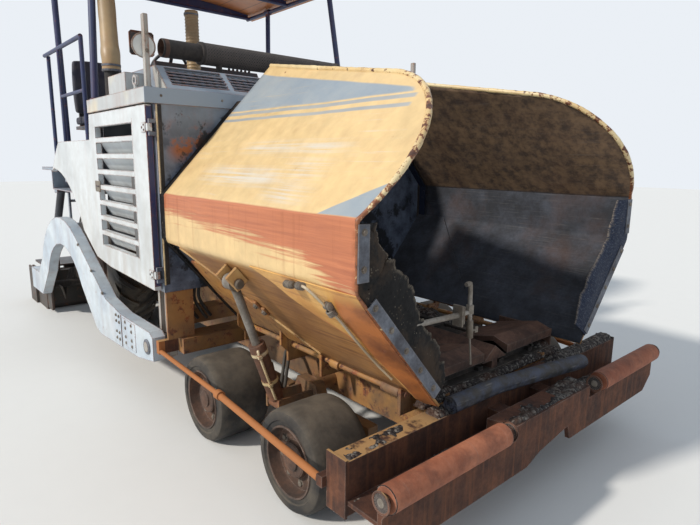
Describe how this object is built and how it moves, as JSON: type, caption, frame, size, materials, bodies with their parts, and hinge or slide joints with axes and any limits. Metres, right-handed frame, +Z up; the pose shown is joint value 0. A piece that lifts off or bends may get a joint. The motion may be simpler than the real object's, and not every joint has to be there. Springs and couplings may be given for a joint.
{
  "type": "asphalt paver",
  "caption": "Wheeled asphalt paver with folding hopper wings, conveyor, augers, levelling arms, screed with sliding extensions, steered front bogies and canopy over the platform.",
  "frame": {"origin": "on the ground under the middle of the machine's bounding box", "axes": "+X forward to the push rollers, +Y to the machine's left, +Z up"},
  "size_m": [6.3, 2.5, 3.495],
  "materials": {
    "frame_ochre": "worn paint",
    "beam_rust": "rust",
    "roller_terracotta": "worn paint",
    "conveyor_steel": "worn steel",
    "hood_brown": "worn steel",
    "rubber_black": "matte",
    "body_bluegrey": "worn paint",
    "lid_cream": "worn paint",
    "engine_grey": "worn paint",
    "door_white": "worn paint",
    "exhaust_black": "matte",
    "duct_tan": "worn paint",
    "lamp_grey": "worn paint",
    "console_grey": "worn paint",
    "seat_fabric": "matte",
    "post_navy": "worn paint",
    "roof_orange": "satin",
    "tyre_black": "matte",
    "hopper_yellow": "worn paint",
    "barrel_brown": "rust",
    "rod_chrome": "polished",
    "arm_white": "worn paint",
    "screed_steel": "worn steel"
  },
  "bodies": {
    "machine": {"chassis_frame": "frame_ochre", "walking_beams": "frame_ochre", "outriggers": "frame_ochre", "rear_axles": "frame_ochre", "hopper_corners": "frame_ochre", "front_crossbeam": "beam_rust", "push_beam": "beam_rust", "conveyor": "conveyor_steel", "conveyor_hoods": "hood_brown", "hopper_apron": "rubber_black", "bulkhead": "body_bluegrey", "engine_lid": "lid_cream", "engine_block": "engine_grey", "grille_box": "body_bluegrey", "exhaust": "exhaust_black", "air_ducts": "duct_tan", "work_lamps": "lamp_grey", "rear_tank": "body_bluegrey", "platform": "body_bluegrey", "console": "console_grey", "seat_frames": "console_grey", "seat_pads": "seat_fabric", "handrails": "post_navy", "canopy_frame": "post_navy", "canopy_roof": "roof_orange", "tow_guides": "lamp_grey", "guide_rods": "beam_rust"},
    "push_roller_right": {"push_roller_right": "roller_terracotta"},
    "knuckle_right_1": {"knuckle_right_1": "engine_grey"},
    "front_wheel_right_1": {"front_wheel_right_1": "tyre_black"},
    "knuckle_right_2": {"knuckle_right_2": "engine_grey"},
    "front_wheel_right_2": {"front_wheel_right_2": "tyre_black"},
    "rear_wheel_right": {"rear_wheel_right": "tyre_black"},
    "hopper_wing_right": {"hopper_wing_right": "hopper_yellow", "wing_seal_right": "rubber_black"},
    "wing_barrel_right": {"wing_barrel_right": "barrel_brown"},
    "wing_rod_right": {"wing_rod_right": "rod_chrome"},
    "screed_extension_right": {"screed_extension_right": "screed_steel"},
    "auger_right": {"auger_right": "conveyor_steel"},
    "side_door_right": {"side_door_right": "door_white"},
    "push_roller_left": {"push_roller_left": "roller_terracotta"},
    "knuckle_left_1": {"knuckle_left_1": "engine_grey"},
    "front_wheel_left_1": {"front_wheel_left_1": "tyre_black"},
    "knuckle_left_2": {"knuckle_left_2": "engine_grey"},
    "front_wheel_left_2": {"front_wheel_left_2": "tyre_black"},
    "rear_wheel_left": {"rear_wheel_left": "tyre_black"},
    "hopper_wing_left": {"hopper_wing_left": "hopper_yellow", "wing_seal_left": "rubber_black"},
    "wing_barrel_left": {"wing_barrel_left": "barrel_brown"},
    "wing_rod_left": {"wing_rod_left": "rod_chrome"},
    "screed_extension_left": {"screed_extension_left": "screed_steel"},
    "auger_left": {"auger_left": "conveyor_steel"},
    "side_door_left": {"side_door_left": "door_white"},
    "screed_unit": {"tow_arms": "arm_white", "screed": "screed_steel", "auger_plates": "screed_steel", "screed_walkway": "console_grey"},
    "lift_barrels": {"lift_barrels": "console_grey"},
    "lift_rods": {"lift_rods": "rod_chrome"}
  },
  "joints": [
    {"name": "push_roller_right_spin", "type": "hinge", "parent": "machine", "child": "push_roller_right", "pos_m": [3.095, -0.844, 0.505], "axis": [0, 1, 0], "continuous": true},
    {"name": "steer_right_1", "type": "hinge", "parent": "machine", "child": "knuckle_right_1", "pos_m": [2.325, -0.715, 0.265], "axis": [0, 0, 1], "range_deg": [-16, 16]},
    {"name": "front_wheel_right_1_spin", "type": "hinge", "parent": "knuckle_right_1", "child": "front_wheel_right_1", "pos_m": [2.325, -0.965, 0.265], "axis": [0, 1, 0], "continuous": true},
    {"name": "steer_right_2", "type": "hinge", "parent": "machine", "child": "knuckle_right_2", "pos_m": [1.405, -0.715, 0.265], "axis": [0, 0, 1], "range_deg": [-16, 16]},
    {"name": "front_wheel_right_2_spin", "type": "hinge", "parent": "knuckle_right_2", "child": "front_wheel_right_2", "pos_m": [1.405, -0.965, 0.265], "axis": [0, 1, 0], "continuous": true},
    {"name": "rear_wheel_right_spin", "type": "hinge", "parent": "machine", "child": "rear_wheel_right", "pos_m": [-1.345, -0.715, 0.65], "axis": [0, 1, 0], "continuous": true},
    {"name": "auger_right_spin", "type": "hinge", "parent": "machine", "child": "auger_right", "pos_m": [-2.215, -0.6, 0.33], "axis": [0, 1, 0], "continuous": true},
    {"name": "hopper_wing_right_fold", "type": "hinge", "parent": "machine", "child": "hopper_wing_right", "pos_m": [2.0125, -0.655, 0.6], "axis": [-1, 0, 0], "range_deg": [-43, 0]},
    {"name": "wing_barrel_right_swing", "type": "hinge", "parent": "machine", "child": "wing_barrel_right", "pos_m": [1.865, -0.87, 0.34], "axis": [-1, 0, 0], "range_deg": [-39, 0]},
    {"name": "wing_rod_right_slide", "type": "slide", "parent": "wing_barrel_right", "child": "wing_rod_right", "axis": [0, -0.3387, 0.9409], "range_m": [-0.243, 0]},
    {"name": "side_door_right_open", "type": "hinge", "parent": "machine", "child": "side_door_right", "pos_m": [1.065, -1.22, 1.45], "axis": [0, 0, 1], "range_deg": [0, 80]},
    {"name": "screed_extension_right_slide", "type": "slide", "parent": "screed_unit", "child": "screed_extension_right", "axis": [0, -1, 0], "range_m": [0, 0.75]},
    {"name": "push_roller_left_spin", "type": "hinge", "parent": "machine", "child": "push_roller_left", "pos_m": [3.095, 0.844, 0.505], "axis": [0, 1, 0], "continuous": true},
    {"name": "steer_left_1", "type": "hinge", "parent": "machine", "child": "knuckle_left_1", "pos_m": [2.325, 0.715, 0.265], "axis": [0, 0, 1], "range_deg": [-16, 16]},
    {"name": "front_wheel_left_1_spin", "type": "hinge", "parent": "knuckle_left_1", "child": "front_wheel_left_1", "pos_m": [2.325, 0.965, 0.265], "axis": [0, 1, 0], "continuous": true},
    {"name": "steer_left_2", "type": "hinge", "parent": "machine", "child": "knuckle_left_2", "pos_m": [1.405, 0.715, 0.265], "axis": [0, 0, 1], "range_deg": [-16, 16]},
    {"name": "front_wheel_left_2_spin", "type": "hinge", "parent": "knuckle_left_2", "child": "front_wheel_left_2", "pos_m": [1.405, 0.965, 0.265], "axis": [0, 1, 0], "continuous": true},
    {"name": "rear_wheel_left_spin", "type": "hinge", "parent": "machine", "child": "rear_wheel_left", "pos_m": [-1.345, 0.715, 0.65], "axis": [0, 1, 0], "continuous": true},
    {"name": "auger_left_spin", "type": "hinge", "parent": "machine", "child": "auger_left", "pos_m": [-2.215, 0.6, 0.33], "axis": [0, 1, 0], "continuous": true},
    {"name": "hopper_wing_left_fold", "type": "hinge", "parent": "machine", "child": "hopper_wing_left", "pos_m": [2.0125, 0.655, 0.6], "axis": [1, 0, 0], "range_deg": [-43, 0]},
    {"name": "wing_barrel_left_swing", "type": "hinge", "parent": "machine", "child": "wing_barrel_left", "pos_m": [1.865, 0.87, 0.34], "axis": [1, 0, 0], "range_deg": [-39, 0]},
    {"name": "wing_rod_left_slide", "type": "slide", "parent": "wing_barrel_left", "child": "wing_rod_left", "axis": [0, 0.3387, 0.9409], "range_m": [-0.243, 0]},
    {"name": "side_door_left_open", "type": "hinge", "parent": "machine", "child": "side_door_left", "pos_m": [1.065, 1.22, 1.45], "axis": [0, 0, -1], "range_deg": [0, 80]},
    {"name": "screed_extension_left_slide", "type": "slide", "parent": "screed_unit", "child": "screed_extension_left", "axis": [0, 1, 0], "range_m": [0, 0.75]},
    {"name": "screed_raise", "type": "hinge", "parent": "machine", "child": "screed_unit", "pos_m": [0.855, 0, 0.48], "axis": [0, 1, 0], "range_deg": [0, 6]},
    {"name": "lift_barrel_swing", "type": "hinge", "parent": "machine", "child": "lift_barrels", "pos_m": [-1.9, 0, 1.4], "axis": [0, 1, 0], "range_deg": [0, 13.5]},
    {"name": "lift_rod_slide", "type": "slide", "parent": "lift_barrels", "child": "lift_rods", "axis": [-0.5941, 0, -0.8044], "range_m": [-0.275, 0]}
  ],
  "couplings": [
    {"joint": "steer_right_2", "follows": "steer_right_1", "ratio": 1},
    {"joint": "wing_barrel_right_swing", "follows": "hopper_wing_right_fold", "ratio": 0.9058},
    {"joint": "wing_rod_right_slide", "follows": "hopper_wing_right_fold", "m_per_rad": 0.32351},
    {"joint": "steer_left_1", "follows": "steer_right_1", "ratio": 1},
    {"joint": "steer_left_2", "follows": "steer_right_1", "ratio": 1},
    {"joint": "wing_barrel_left_swing", "follows": "hopper_wing_left_fold", "ratio": 0.9058},
    {"joint": "wing_rod_left_slide", "follows": "hopper_wing_left_fold", "m_per_rad": 0.32351},
    {"joint": "lift_barrel_swing", "follows": "screed_raise", "ratio": 2.2311},
    {"joint": "lift_rod_slide", "follows": "screed_raise", "m_per_rad": -2.607}
  ]
}
